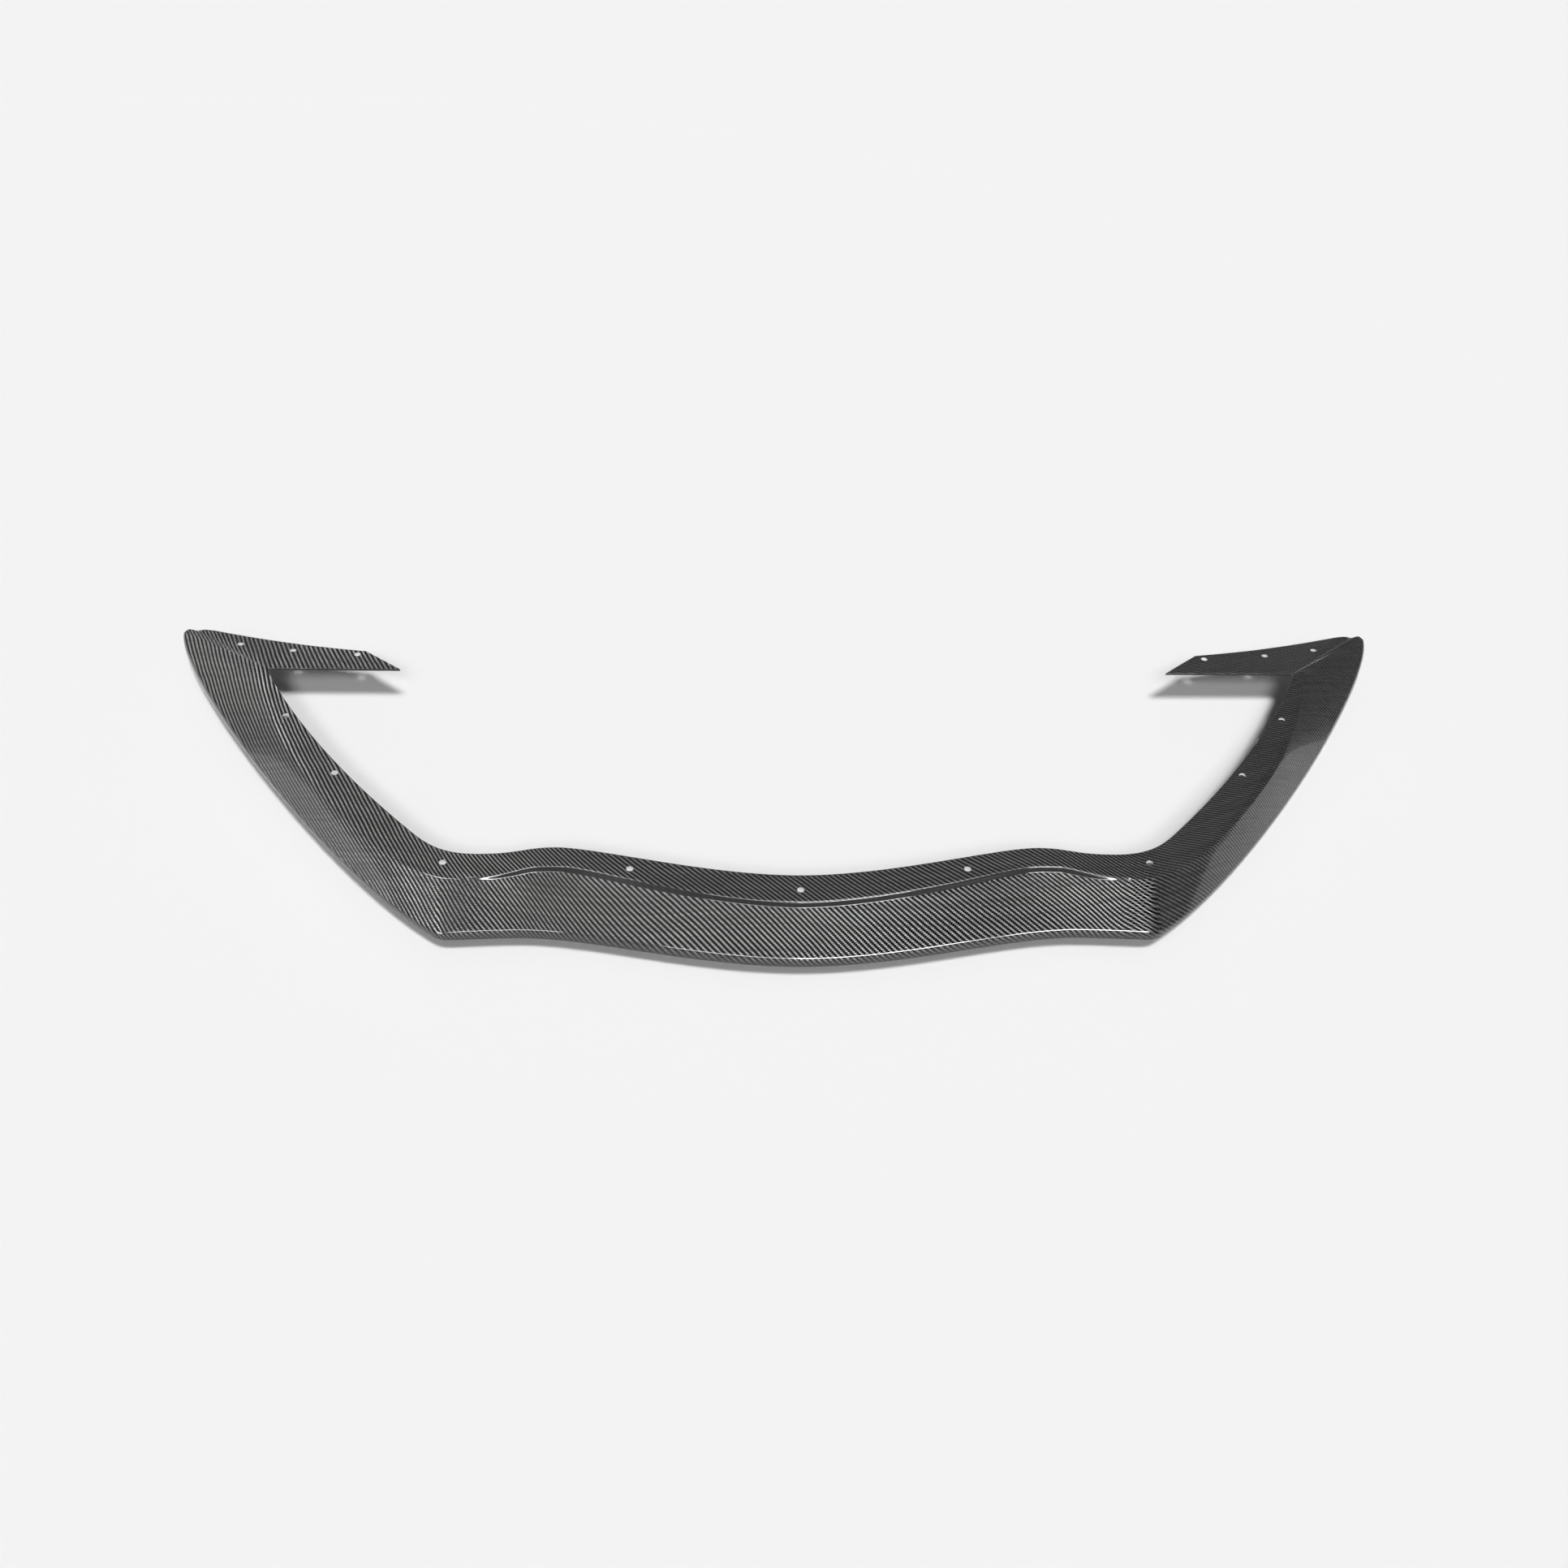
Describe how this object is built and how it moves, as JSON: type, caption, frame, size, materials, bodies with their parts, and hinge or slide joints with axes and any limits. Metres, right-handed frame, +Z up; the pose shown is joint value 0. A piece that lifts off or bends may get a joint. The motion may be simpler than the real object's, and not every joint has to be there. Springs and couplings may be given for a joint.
{
  "type": "front splitter lip",
  "caption": "Front splitter lip: a wide U of glossy woven laminate with a level inner flange, a blade that slopes to a turned-down rim, and inward hooks at the rear ends.",
  "frame": {"origin": "centre of the bounding box in plan, level with the foot of the rim", "axes": "+X across the car, to the right in the picture; +Y to the rear, from the nose to the hooks; +Z up"},
  "size_m": [1.6936, 0.6678, 0.05],
  "materials": {
    "carbon": "dark twill-woven carbon fibre under a glossy clear coat"
  },
  "bodies": {
    "root": {"splitter_lip": "carbon"}
  },
  "joints": []
}
